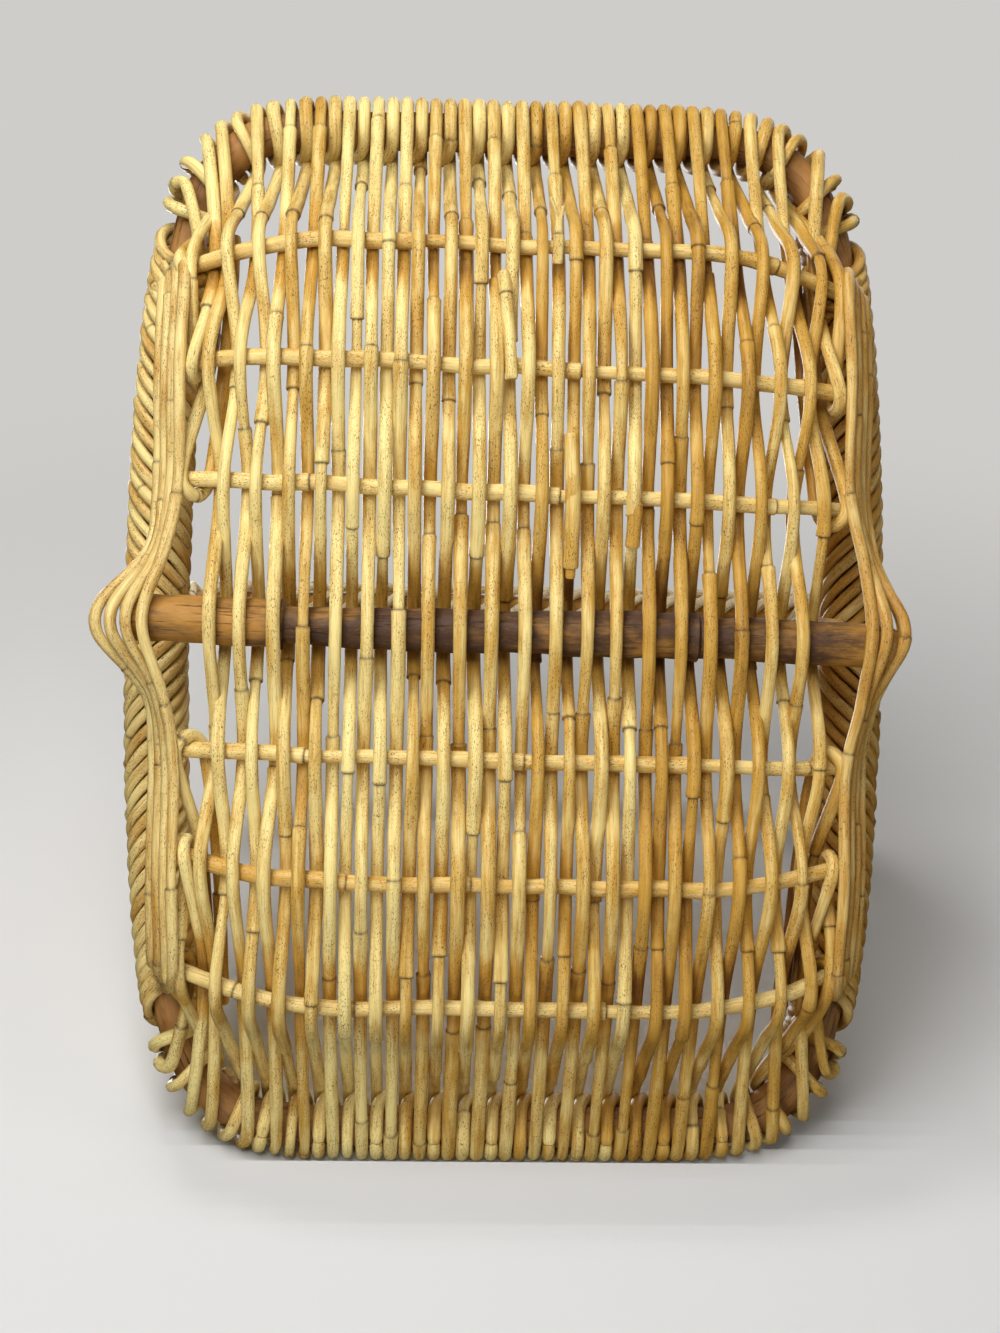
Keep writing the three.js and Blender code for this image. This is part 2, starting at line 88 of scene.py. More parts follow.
BOW_RADIUS, HANDLE_TOP, HANDLE_LEAN = 7, 331, 20
HANDLE_WIDEST, HANDLE_WIDEST_HEIGHT = 412, 212
print(f"the weave has {PASSES} passes, {PITCH:.2f} mm apart")

# %% [markdown]
# ## Smooth paths
#
# A cane can't turn sharply: it bends in an even curve between the places that hold
# it. A Catmull-Rom curve does the same. It goes through every point that it is given,
# so a path is only a list of the places where the cane touches something. The curve
# is then cut into even steps, because rings at even distances make an even mesh.


# %% A smooth path through a few places
def even_steps(points, step):
    """The same line with points at even distances."""
    lengths = np.linalg.norm(np.diff(points, axis=0), axis=1)
    run = np.concatenate([[0], np.cumsum(lengths)])
    count = max(int(run[-1] / step), 2)
    stops = np.linspace(0, run[-1], count + 1)
    return np.stack([np.interp(stops, run, points[:, k]) for k in range(3)], axis=1)


def smooth_path(places, step=3.0):
    """A Catmull-Rom curve through the places."""
    places = np.array(places, float)
    ends = [2 * places[0] - places[1], 2 * places[-1] - places[-2]]
    p = np.vstack([ends[0], places, ends[1]])
    t = np.concatenate([[0], np.cumsum(np.linalg.norm(np.diff(p, axis=0), axis=1) ** 0.5)])
    parts = []
    for i in range(1, len(p) - 2):
        count = max(int(np.linalg.norm(p[i + 1] - p[i])), 3)
        s = np.linspace(t[i], t[i + 1], count, endpoint=False)[:, None]
        a = [((t[i + k] - s) * p[i + k - 1] + (s - t[i + k - 1]) * p[i + k]) / (t[i + k] - t[i + k - 1])
             for k in range(3)]
        b = [((t[i + k + 1] - s) * a[k] + (s - t[i + k - 1]) * a[k + 1]) / (t[i + k + 1] - t[i + k - 1])
             for k in range(2)]
        parts.append(((t[i + 1] - s) * b[0] + (s - t[i]) * b[1]) / (t[i + 1] - t[i]))
    parts.append(p[-2][None, :])
    return even_steps(np.vstack(parts), step)


print("a test path has", len(smooth_path([(0, 0, 0), (50, 10, 0), (100, 0, 0)])), "points")

# %% [markdown]
# ## Rolling up a rod
#
# A rod starts as a flat grid: its length runs along the path and its width is rolled
# up into a tube, ring by ring. The seam is then merged and the two ends are closed.
#
# Each point also keeps where it would be if the cane were straight. A texture that
# reads this place runs along the cane and has no seam. Two more values travel along:
# the tone of the cane, which on the base canes also holds painted shade, and how near
# the point is to a knuckle, the raised ring where a leaf once grew.


# %% Rings along a path
def ease(value, low, high):
    """0 below low, 1 above high and a soft change between them."""
    share = min(max((value - low) / (high - low), 0), 1)
    return share * share * (3 - 2 * share)


def turned_frames(path):
    """Directions along and across the path that don't twist round it."""
    along = np.gradient(path, axis=0)
    along /= np.linalg.norm(along, axis=1)[:, None]
    across = np.zeros_like(path)
    start = np.cross(along[0], (0.31, 0.52, 0.79))
    across[0] = start / np.linalg.norm(start)
    for i in range(1, len(path)):
        turned = across[i - 1] - along[i] * np.dot(across[i - 1], along[i])
        across[i] = turned / np.linalg.norm(turned)
    return along, across, np.cross(along, across)


def knuckle_places(length, rng, spacing):
    """Where the knuckles of one cane are."""
    places = []
    at = rng.uniform(10, spacing[1])
    while at < length - 6:
        places.append(at)
        at += rng.uniform(*spacing)
    return places


def with_knuckle_rings(path, knuckles):
    """More rings beside each knuckle, so that its edge is crisp."""
    run = np.concatenate([[0], np.cumsum(np.linalg.norm(np.diff(path, axis=0), axis=1))])
    extra = [at + offset for at in knuckles for offset in (-4, -1.6, -0.6, -0.1, 0.25, 0.8, 2.4)]
    stops = np.array(sorted(set(list(run) + [s for s in extra if 0 < s < run[-1]])))
    keep = np.concatenate([[True], np.diff(stops) > 0.15])
    stops = stops[keep]
    return stops, np.stack([np.interp(stops, run, path[:, k]) for k in range(3)], axis=1)


print("knuckles on one metre of a cane:", len(knuckle_places(1000, random.Random(1), (95, 170))))


# %% Roll up one rod
def start_rods():
    """An empty mesh for rods, with the three values that the materials read."""
    rods = bmesh.new()
    rods.verts.layers.float_vector.new("straight")
    rods.verts.layers.float.new("tone")
    rods.verts.layers.float.new("knuckle")
    return rods


def roll_rod(rods, path, radii, runs, knuckle, tone, sides, lumps, seed):
    """Rolls a grid into a tube round the path and closes its two ends."""
    straight = rods.verts.layers.float_vector["straight"]
    tones = rods.verts.layers.float["tone"]
    knuckles = rods.verts.layers.float["knuckle"]
    along, across, over = turned_frames(path)
    last = len(path) - 1
    grid = bmesh.ops.create_grid(rods, x_segments=last, y_segments=sides, size=0.5)["verts"]
    ends = []
    for vert in grid:
        i = round((vert.co.x + 0.5) * last)
        j = round((vert.co.y + 0.5) * sides) % sides
        angle = 2 * math.pi * j / sides
        probe = Vector((runs[i] / 14, math.cos(angle) * 0.9 + seed, math.sin(angle) * 0.9))
        radius = radii[i] * (1 + lumps * noise.noise(probe))
        outward = across[i] * math.cos(angle) + over[i] * math.sin(angle)
        vert.co = (path[i] + outward * radius) * MM
        vert[straight] = Vector((runs[i], radius * math.cos(angle), radius * math.sin(angle))) * MM
        vert[tones] = tone[i]
        vert[knuckles] = knuckle[i]
        if i in (0, last):
            ends.append(vert)
    bmesh.ops.remove_doubles(rods, verts=grid, dist=1e-7)
    ends = {vert for vert in ends if vert.is_valid}
    rims = [edge for vert in ends for edge in vert.link_edges if edge.other_vert(vert) in ends]
    rims = list({edge for edge in rims if edge.is_boundary})
    caps = bmesh.ops.holes_fill(rods, edges=rims, sides=sides)["faces"]
    for face in caps:
        face.material_index = 1
    for edge in rims:
        edge.smooth = False


def add_cane(rods, places, diameter, rng, tone, step=3.0, sides=10, spacing=(95, 170), lumps=0.05):
    """One cane or stick through the places. Its tone may be a number or a function of a point."""
    path = smooth_path(places, step)
    length = np.linalg.norm(np.diff(path, axis=0), axis=1).sum()
    marks = knuckle_places(length, rng, spacing)
    runs, path = with_knuckle_rings(path, marks)
    seed = rng.uniform(0, 500)
    slow = np.array([noise.noise(Vector((run / 70, seed, 0.0))) for run in runs])
    radii = diameter / 2 * (1 + 0.08 * slow)
    knuckle = np.zeros(len(runs))
    for at in marks:
        away = runs - at
        swelling = 0.08 * np.exp(-np.abs(away + 0.6) / 5) - 0.06 * np.exp(-(away / 0.5) ** 2)
        narrowing = rng.choice([0.1, 0.14, 0.28]) * np.where(away > 0, np.exp(-np.abs(away) / 45), 0.0)
        radii *= 1 + swelling - narrowing
        knuckle = np.maximum(knuckle, np.exp(-(away / 0.7) ** 2))
    for away in (runs, runs[-1] - runs):
        radii *= np.where(away < 0.2, 0.86, 1.0)
    if callable(tone):
        tones = np.array([tone(point) for point in path]) + 0.1 * slow
    else:
        tones = tone + 0.14 * slow
    roll_rod(rods, path, radii, runs + seed * 10, knuckle, tones, sides, lumps, seed)
    return length


def finish_rods(rods, name, materials, nodes):
    """Turns the rods into one piece of the basket."""
    bmesh.ops.recalc_face_normals(rods, faces=rods.faces)
    for face in rods.faces:
        face.smooth = face.material_index == 0
    mesh = bpy.data.meshes.new(name)
    rods.to_mesh(mesh)
    rods.free()
    for material in materials:
        mesh.materials.append(material)
    piece = bpy.data.objects.new(name, mesh)
    bpy.context.scene.collection.objects.link(piece)
    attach(piece, "root")
    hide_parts(*nodes)
    print(f"{name}: {len(mesh.polygons)} faces")


# %% [markdown]
# ## The looks
#
# All the canes are the same plant, peeled and dried: pale straw that turns gold and
# then orange-brown with age. So one node group gives the look of peeled cane, and
# each material only sets its own colours. The group reads the straightened place of
# each point. Noise that is stretched along the cane gives the fine lines of the
# fibres, small dark spots lie between them, and each knuckle has a thin dark ring.


# %% Helpers for node groups
def new_group(name, inputs):
    """A node group that gives the colour, the roughness and the height of a surface."""
    outputs = [("Color", "NodeSocketColor"), ("Roughness", "NodeSocketFloat"), ("Height", "NodeSocketFloat")]
    group = bpy.data.node_groups.new(name, "ShaderNodeTree")
    for label, kind, value in inputs:
        socket = group.interface.new_socket(name=label, in_out="INPUT", socket_type=kind)
        if value is not None:
            socket.default_value = value
    for label, kind in outputs:
        group.interface.new_socket(name=label, in_out="OUTPUT", socket_type=kind)
    return group, group.nodes.new("NodeGroupInput"), group.nodes.new("NodeGroupOutput")


class Nodes:
    """Short words for the nodes that these materials use."""

    def __init__(self, tree):
        self.tree = tree

    def make(self, kind, inputs=None, **settings):
        node = self.tree.nodes.new(kind)
        for key, value in settings.items():
            setattr(node, key, value)
        for key, value in (inputs or {}).items():
            socket = node.inputs[key]
            if isinstance(value, bpy.types.NodeSocket):
                self.tree.links.new(value, socket)
            else:
                socket.default_value = value
        return node

    def math(self, operation, a, b):
        return self.make("ShaderNodeMath", {0: a, 1: b}, operation=operation).outputs[0]

    def scaled(self, vector, amounts):
        node = self.make("ShaderNodeVectorMath", {0: vector, 1: amounts}, operation="MULTIPLY")
        return node.outputs[0]

    def noise(self, vector, scale, detail, roughness):
        inputs = {"Vector": vector, "Scale": scale, "Detail": detail, "Roughness": roughness}
        return self.make("ShaderNodeTexNoise", inputs).outputs["Fac"]

    def ramp(self, value, low, high, to_low=0.0, to_high=1.0):
        inputs = {"Value": value, "From Min": low, "From Max": high, "To Min": to_low, "To Max": to_high}
        node = self.make("ShaderNodeMapRange", inputs, interpolation_type="SMOOTHSTEP", clamp=True)
        return node.outputs["Result"]

    def mix(self, share, a, b):
        node = self.make("ShaderNodeMix", data_type="RGBA", blend_type="MIX", clamp_factor=True)
        for index, value in ((0, share), (6, a), (7, b)):
            if isinstance(value, bpy.types.NodeSocket):
                self.tree.links.new(value, node.inputs[index])
            else:
                node.inputs[index].default_value = value
        return node.outputs[2]


def color(text):
    """A colour as it is seen, written as six hexadecimal digits, for a shader."""
    parts = [int(text[i:i + 2], 16) / 255 for i in (0, 2, 4)]
    linear = [part / 12.92 if part <= 0.04045 else ((part + 0.055) / 1.055) ** 2.4 for part in parts]
    return (*linear, 1.0)


print("half grey for a shader:", round(color("808080")[0], 3))


# %% The node group of peeled cane
def make_peeled_cane():
    group, inside, outside = new_group(
        "Peeled cane",
        [("Straight", "NodeSocketVector", None), ("Tone", "NodeSocketFloat", 0.4),
         ("Knuckle", "NodeSocketFloat", 0.0), ("Pale", "NodeSocketColor", color("ead9ae")),
         ("Gold", "NodeSocketColor", color("c9993f")), ("Brown", "NodeSocketColor", color("8a5426"))],
    )
    n = Nodes(group)
    straight, tone, knuckle = (inside.outputs[key] for key in ("Straight", "Tone", "Knuckle"))
    pale, gold, brown = (inside.outputs[key] for key in ("Pale", "Gold", "Brown"))
    fibres = n.noise(n.scaled(straight, (0.045, 1.0, 1.0)), 1500, 3.0, 0.6)
    streaks = n.noise(n.scaled(straight, (0.09, 1.0, 1.0)), 330, 3.0, 0.6)
    patches = n.noise(straight, 24, 3.0, 0.6)
    spots = n.noise(n.scaled(straight, (0.45, 1.0, 1.0)), 1900, 2.0, 0.5)
    # Tone also carries the painted shade of the inner base canes, which moves them towards gold and brown
    drift = n.math("MULTIPLY_ADD", patches, 0.75)
    group.links.new(tone, drift.node.inputs[2])
    age_and_shade = n.math("ADD", drift, -0.33)
    age_and_shade = n.math("ADD", age_and_shade, n.ramp(streaks, 0.35, 0.75, -0.14, 0.2))
    base = n.mix(n.ramp(age_and_shade, 0.0, 0.62), pale, gold)
    base = n.mix(n.ramp(age_and_shade, 0.55, 1.25), base, brown)
    lines = n.math("MULTIPLY", n.ramp(fibres, 0.53, 0.68), 0.5)
    base = n.mix(lines, base, n.mix(0.55, gold, brown))
    flecks = n.math("MULTIPLY", n.ramp(spots, 0.58, 0.66), n.ramp(patches, 0.36, 0.58))
    base = n.mix(n.math("MULTIPLY", flecks, 0.85), base, color("3d2714"))
    ring = n.math("MULTIPLY", knuckle, n.ramp(streaks, 0.2, 0.7, 0.55, 1.0))
    base = n.mix(n.math("MULTIPLY", ring, 0.85), base, color("432a14"))
    rough = n.ramp(fibres, 0.3, 0.75, 0.42, 0.62)
    height = n.math("MULTIPLY", fibres, 0.6)
    height = n.math("SUBTRACT", height, n.math("MULTIPLY", flecks, 0.5))
    for label, value in (("Color", base), ("Roughness", rough), ("Height", height)):
        group.links.new(value, outside.inputs[label])
    return group


peeled_cane = make_peeled_cane()
print("the group has", len(peeled_cane.nodes), "nodes")


# %% Materials of peeled cane
def material_tree(name):
    material = bpy.data.materials.new(name)
    material.use_nodes = True
    material.node_tree.nodes.clear()
    return material, material.node_tree


def finish_material(tree, gloss, base, rough, height, depth):
    """Joins the surface, its colour, its roughness and its relief, whose depth is in metres."""
    n = Nodes(tree)
    shade = n.make("ShaderNodeBsdfPrincipled", {"Specular IOR Level": gloss})
    bump = n.make("ShaderNodeBump", {"Strength": 1.0, "Distance": depth, "Height": height})
    tree.links.new(base, shade.inputs["Base Color"])
    tree.links.new(rough, shade.inputs["Roughness"])
    tree.links.new(bump.outputs[0], shade.inputs["Normal"])
    out = n.make("ShaderNodeOutputMaterial")
    tree.links.new(shade.outputs[0], out.inputs["Surface"])


def attribute(n, name, output="Fac"):
    return n.make("ShaderNodeAttribute", attribute_name=name).outputs[output]


def rod_material(name, group, tone_label, colors, gloss, depth):
    """A material that gives a node group its colours and the three values of each point."""
    material, tree = material_tree(name)
    n = Nodes(tree)
    look = n.make("ShaderNodeGroup", node_tree=group)
    tree.links.new(attribute(n, "straight", "Vector"), look.inputs["Straight"])
    tree.links.new(attribute(n, "tone"), look.inputs[tone_label])
    tree.links.new(attribute(n, "knuckle"), look.inputs["Knuckle"])
    for label, value in colors.items():
        look.inputs[label].default_value = color(value)
    base, rough, height = (look.outputs[key] for key in ("Color", "Roughness", "Height"))
    finish_material(tree, gloss, base, rough, height, depth)
    return material


def cane_material(name, pale, gold, brown):
    colors = {"Pale": pale, "Gold": gold, "Brown": brown}
    return rod_material(name, peeled_cane, "Tone", colors, gloss=0.35, depth=0.0002)


def cut_material(name, face, ring):
    """The sawn or snipped end of a stick: a rough face with darker patches."""
    material, tree = material_tree(name)
    n = Nodes(tree)
    place = n.make("ShaderNodeTexCoord").outputs["Object"]
    grain = n.noise(place, 900, 3.0, 0.6)
    patches = n.noise(place, 160, 2.0, 0.5)
    base = n.mix(n.ramp(grain, 0.45, 0.7, 0.0, 0.8), color(face), color(ring))
    base = n.mix(n.ramp(patches, 0.5, 0.75, 0.0, 0.5), base, color(ring))
    finish_material(tree, 0.2, base, n.ramp(grain, 0.3, 0.8, 0.7, 0.85), grain, 0.0003)
    return material


base_cane_look = cane_material("Base cane", "ecd68c", "c3943a", "70420f")
side_cane_look = cane_material("Side cane", "e6cf88", "bb8a38", "74471a")
wrap_cane_look = cane_material("Rim winding cane", "e6cf88", "bb8a38", "74471a")
handle_cane_look = cane_material("Handle winding cane", "f4e8c4", "d8b26a", "8f6636")
rib_look = cane_material("Rib", "ead28a", "c99c44", "8f5c26")
cane_cut = cut_material("Cut cane", "d8bd84", "8a6234")
stick_cut = cut_material("Cut stick", "c8924a", "8a5424")
print("cane materials are ready")


# %% [markdown]
# ## Bark
#
# The rim and the thick stick keep their bark. It is dark brown, cracked along the
# stick and rubbed to a lighter brown where hands and ground wear it. The cracks come
# from a stretched wave of noise, and worn patches from a coarse one.

# %% The node group of bark and its two materials
def make_bark():
    group, inside, outside = new_group(
        "Bark",
        [("Straight", "NodeSocketVector", None), ("Knuckle", "NodeSocketFloat", 0.0),
         ("Dark", "NodeSocketColor", color("4a2a1c")), ("Worn", "NodeSocketColor", color("9a6a38")),
         ("Wear", "NodeSocketFloat", 0.5)],
    )
    n = Nodes(group)
    straight, knuckle, dark, worn, wear = (
        inside.outputs[key] for key in ("Straight", "Knuckle", "Dark", "Worn", "Wear")
    )
    coarse = n.noise(n.scaled(straight, (0.5, 1.0, 1.0)), 60, 4.0, 0.6)
    lines = n.noise(n.scaled(straight, (0.06, 1.0, 1.0)), 420, 4.0, 0.65)
    fine = n.noise(n.scaled(straight, (0.3, 1.0, 1.0)), 1400, 3.0, 0.6)
    worn_here = n.math("ADD", coarse, n.math("MULTIPLY", lines, 0.5))
    worn_here = n.math("ADD", worn_here, n.math("SUBTRACT", wear, 0.5))
    base = n.mix(n.ramp(worn_here, 0.55, 0.95), dark, worn)
    cracks = n.ramp(lines, 0.56, 0.66)
    base = n.mix(n.math("MULTIPLY", cracks, 0.6), base, color("24130c"))
    base = n.mix(n.math("MULTIPLY", n.ramp(fine, 0.55, 0.75), 0.35), base, worn)
    base = n.mix(n.math("MULTIPLY", knuckle, 0.6), base, color("2c180e"))
    rough = n.ramp(fine, 0.3, 0.7, 0.5, 0.75)
    height = n.math("SUBTRACT", n.math("MULTIPLY", fine, 0.4), cracks)
    for label, value in (("Color", base), ("Roughness", rough), ("Height", height)):
        group.links.new(value, outside.inputs[label])
    return group


bark = make_bark()


def bark_material(name, dark, worn):
    return rod_material(name, bark, "Wear", {"Dark": dark, "Worn": worn}, gloss=0.4, depth=0.0004)


rim_bark = bark_material("Rim bark", "65411f", "a8783e")
stick_bark = bark_material("Stick bark", "452912", "ab7a30")
print("bark materials are ready")

# %% [markdown]
# ## The rim
#
# The rim is an oblong with round corners and slightly bulging sides. A superellipse
# describes it with one number for how square it is. Everything that is wound round
# the rim needs a place along it and the direction that points out of the basket
# there, so one helper gives both for any distance along a quarter of the rim.


# %% Places on the rim
def rim_quarter(inset):
    """A quarter of the rim from the middle of an end bar, by distance along an inset line."""
    turn = np.linspace(0, math.pi / 2, 401)
    half_length = RIM_LENGTH / 2
    x = half_length * np.clip(np.cos(turn), 0, 1) ** (2 / RIM_POWER)
    share = np.clip(np.sin(turn), 0, 1) ** (2 / RIM_POWER)
    half = RIM_WIDTH / 2 - SIDE_BOW * (x / half_length) ** 2
    bulge = 2 * SIDE_BOW * x / half_length ** 2
    nx = (x / half_length) ** (RIM_POWER - 1) / half_length + share ** RIM_POWER * bulge / half
    ny = share ** (RIM_POWER - 1) / half
    size = np.hypot(nx, ny)
    nx, ny, y = nx / size, ny / size, half * share
    inner = np.stack([x - nx * inset, y - ny * inset], axis=1)
    run = np.concatenate([[0], np.cumsum(np.linalg.norm(np.diff(inner, axis=0), axis=1))])
    return {"run": run, "x": x, "y": y, "nx": nx, "ny": ny}


middle_line = rim_quarter(0)
outer_line = rim_quarter(-RIM_RADIUS)
quarter_length = middle_line["run"][-1]


def rim_frame(line, distance, x_side, y_side):
    """The middle of the rim and the direction out of the basket, in the quarter on the given sides."""
    x, y, nx, ny = (np.interp(distance, line["run"], line[key]) for key in ("x", "y", "nx", "ny"))
    middle = np.array([x_side * x, y_side * y, RIM_RISE])
    outward = np.array([x_side * nx, y_side * ny, 0.0])
    return {"middle": middle, "outward": outward / np.linalg.norm(outward)}


UP = np.array([0.0, 0.0, 1.0])


def ring_round(place, radius, degrees):
    """A point on a loop round a bar: 0 degrees is outward and 90 is the top."""
    angle = math.radians(degrees)
    heading = place.get("heading", place["outward"])
    reach = radius * math.cos(angle) / np.dot(heading, place["outward"])
    return place["middle"] + heading * reach + UP * radius * math.sin(angle)


print(f"a quarter of the rim is {quarter_length:.0f} mm long")


# %% The rim stick
def make_rim():
    """The stick starts and ends in the middle of the +Y bar, where its two ends nearly touch."""
    rng = random.Random(11)
    quarter = [rim_frame(middle_line, quarter_length * i / 12, 1, 1)["middle"] for i in range(13)]
    corners = []
    for x_side, y_side, way in ((-1, 1, -1), (-1, -1, 1), (1, -1, -1), (1, 1, 1)):
        part = [point * (x_side, y_side, 1) for point in quarter][::way]
        corners.extend(part if not corners else part[1:])
    corners[0] = corners[0] + (-0.3, 0, 0)
    corners[-1] = corners[-1] + (0.3, 0, 0)
    rods = start_rods()
    add_cane(rods, corners, 2 * RIM_RADIUS, rng, 0.6, step=5, sides=24, spacing=(130, 220), lumps=0.06)
    finish_rods(rods, "bent_rim_stick", [rim_bark, stick_cut], ["rim_hoop"])


make_rim()

# %% [markdown]
# ## The thick stick and the ribs
#
# The thick stick carries the handle and the whole base. It is not quite straight and
# has a few knots. The ribs are thinner and peeled: they lie flat in the middle and
# curve up at both ends, where the sides of the basket rise.


# %% Places on the ribs
def rib_lift(y):
    """How far a rib has risen at a place across the basket, and its slope there."""
    reach = max(abs(y) - RIB_FLAT, 0) / (RIB_TIP - RIB_FLAT)
    slope = math.copysign(2 * RIB_LIFT * reach / (RIB_TIP - RIB_FLAT), y)
    return RIB_LIFT * reach ** 2, slope


def rib_middle(station, y):
    """The middle of a rib at a place across the basket, and the direction square to the weave there."""
    side = math.copysign(1, station)
    lean, end_rise = (END_RIB_TILT, END_RIB_RISE) if abs(station) == END_RIB else (0.0, 0)
    rise, slope = rib_lift(y)
    sweep = side * RIB_SWEEPS[station] / RIB_LIFT
    along = (math.cos(lean), 0, side * math.sin(lean))
    square = np.cross(along, (-sweep * slope, 1, slope))
    skew = RIB_SKEWS[station] * y / RIB_TIP
    middle = np.array([station - sweep * rise - skew, y, RIB_HEIGHT + rise + end_rise])
    return middle, square / np.linalg.norm(square)


print(f"the tips of the ribs rise by {rib_lift(RIB_TIP)[0]:.0f} mm")


# %% Make the thick stick and the ribs
def stick_x(y):
    """The thick stick is a little crooked and lies slightly askew."""
    return 1.2 * math.sin(y / 60) - 2.5 - STICK_SKEW * y / RIB_TIP


def worn_bark(point):
    """The bark is lighter where hands have worn it, near the ends and further in on the left."""
    return 0.38 + 0.3 * max(ease(-point[1], 100, 180), ease(point[1], 150, 190))


def make_stick():
    rng = random.Random(5)
    half = STICK_LENGTH / 2
    places = [(stick_x(y), y, STICK_HEIGHT) for y in np.linspace(-half, half, 12)]
    rods = start_rods()
    add_cane(rods, places, 2 * STICK_RADIUS, rng, worn_bark, sides=28, spacing=(60, 120), lumps=0.09)
    finish_rods(rods, "thick_base_stick", [stick_bark, stick_cut], ["centre_stick"])


def make_rib(number, station):
    rng = random.Random(20 + number)
    places = []
    for y in np.linspace(-RIB_TIP - 2, RIB_TIP + 2, 15):
        middle, _ = rib_middle(station, y)
        places.append(middle + (rng.uniform(-0.8, 0.8), 0, 0))
    rods = start_rods()
    tone = rng.uniform(0.1, 0.4)
    add_cane(rods, places, 2 * RIB_RADIUS, rng, tone, sides=12, spacing=(60, 130), lumps=0.08)
    finish_rods(rods, f"peeled_rib_{number}", [rib_look, cane_cut], [f"rib_{number}"])


make_stick()
for i, station in enumerate(RIB_STATIONS):
    make_rib(i + 1, station)

# %% [markdown]
# ## The weave of the base
#
# The passes go over and under the ribs by turns, and every second pass does the
# opposite. A pass that leaves over an end rib goes round the outside of the end bar,
# and comes back from the inside as the next pass. On the way it makes one and a half
# turns, so that the loops fill the bar. At the corners they fan out and lie slanted and
# wider, so the bar shows between them there.


# %% Where a pass goes
GAP = 0.2
WEAVE_RADIUS = RIB_RADIUS + CANE / 2 + GAP
STICK_WEAVE_RADIUS = STICK_RADIUS + CANE / 2 + GAP
LOOP_RADIUS = RIM_RADIUS + CANE / 2 + 0.3


def pass_y(number):
    return (number - (PASSES - 1) / 2) * PITCH


def loop_distance(number):
    """How far from the middle of an end bar a loop is. At the corners the loops lie wider."""
    distance = (number - (PASSES - 1) / 2) * LOOP_PITCH
    return distance + math.copysign(FAN_GROWTH * max(abs(distance) - FAN_START, 0) ** 2, distance)


def loop_frame(number, x_side):
    """The place of a loop on an end bar, and the heading of the plane that the loop lies in."""
    distance = loop_distance(number)
    place = rim_frame(outer_line, abs(distance), x_side, math.copysign(1, distance))
    turned = math.asin(max(-1, min(1, place["outward"][1]))) * 0.95
    place["heading"] = np.array([x_side * math.cos(turned), math.sin(turned), 0.0])
    return place


def pass_places(number, rng):
    """The places of one pass, from the -X end to the +X end."""
    y = pass_y(number)
    goes_out = number % 2 == 0
    places = []
    for i, station in enumerate(RIB_STATIONS[:3] + [0] + RIB_STATIONS[3:]):
        over = 1 if (i % 2 == 0) == goes_out else -1
        shift = rng.uniform(-0.8, 0.8)
        if station == 0:
            places.append(np.array([stick_x(y), y + shift, STICK_HEIGHT + over * STICK_WEAVE_RADIUS]))
        else:
            middle, square = rib_middle(station, y)
            places.append(middle + square * over * WEAVE_RADIUS + (0, shift, 0))
    if not goes_out:
        places.insert(0, crossing_place(number, -1, places[0]))
        places.append(crossing_place(number, 1, places[-1]))
    return places


def crossing_place(number, x_side, at_rib):
    """Near the corners the loops fan out, and a pass that comes back inside is pushed out with them."""
    y_side = math.copysign(1, pass_y(number))
    target = ring_round(loop_frame(number, x_side), LOOP_RADIUS, LOOP_END)
    middle = at_rib + (target - at_rib) * CROSSING_SHARE
    beside = number - y_side
    rib_point, _ = rib_middle(x_side * END_RIB, pass_y(beside))
    out_point = ring_round(loop_frame(beside, x_side), LOOP_RADIUS, LOOP_START)
    share = (middle[0] - rib_point[0]) / (out_point[0] - rib_point[0])
    pushed = rib_point[1] + (out_point[1] - rib_point[1]) * share + y_side * CROSSING_PITCH
    middle[1] = y_side * max(y_side * middle[1], y_side * pushed)
    return middle


print(f"a pass goes by the middle of a rib at {WEAVE_RADIUS:.2f} mm")


# %% How a cane goes round an end bar
def sideways(angle, corner):
    """How much of its way to the next place a loop has gone. Corner loops lie slanted outside."""
    slant = 0.36 * corner
    outside = ease(angle, -60, 60) + ease(angle, 300, 420)
    settle = 1 + ease(angle, 430, 490)
    return ease(angle, 120, 240) * (1 - 2 * slant) + slant * (2 * outside - settle)


def turn_places(outer_pass, step, x_side):
    """From an outer pass to the inner pass beside it."""
    corner = min(abs(loop_frame(outer_pass + step / 2, x_side)["outward"][1]) * 2, 1)
    places = []
    for angle in np.linspace(LOOP_START, LOOP_END + 360, 19):
        place = loop_frame(outer_pass + sideways(angle, corner) * step, x_side)
        places.append(ring_round(place, LOOP_RADIUS, angle))
    return places


def split_turn(places):
    """A turn in two parts with a short gap between them, where one cane ends and the next begins."""
    cut = math.ceil(len(places) * 0.6)
    middle = (places[cut - 1] + places[cut]) / 2
    way = (places[cut] - places[cut - 1]) * 0.05
    return places[:cut] + [middle - way], [middle + way] + places[cut:]


def tucked_places(number, angles):
    """The loop with which the first cane begins and the last one ends, at a corner of the -X bar."""
    place = loop_frame(number, -1)
    return [ring_round(place, LOOP_RADIUS, angle) for angle in angles]


print(f"a turn goes through {len(turn_places(0, 1, 1))} places, {LOOP_RADIUS:.2f} mm from the middle")

# %% [markdown]
# ## Short rows at the sides
#
# The forty passes leave a strip free at the tips of the ribs. On the real basket a
# cane turns back there: it goes round a rib near its tip and returns to the corner of
# the rim, where it makes its loops like all the others. These short rows are why the
# corners are so full of loops. They belong to the first and the last cane of the weave.

# %% Where the short rows go
SHORT_RADIUS = RIB_RADIUS + SHORT_CANE / 2 + GAP
CORNER_RADIUS = RIM_RADIUS + SHORT_CANE / 2 + 1.2


def round_rib(station, ys, first, x_side, y_side):
    """From one face of a rib to the other, round the side that looks at the thick stick."""
    places = []
    for share, angle in zip(np.linspace(0, 1, 5), (90, 45, 0, -45, -90)):
        middle, square = rib_middle(x_side * station, y_side * (ys[0] + (ys[1] - ys[0]) * share))
        lean = END_RIB_TILT if station == END_RIB else 0.0
        inward = np.array([-x_side * math.cos(lean), 0, -math.sin(lean)])
        turn = math.radians(angle)
        places.append(middle + (square * first * math.sin(turn) + inward * math.cos(turn)) * SHORT_RADIUS)
    return places


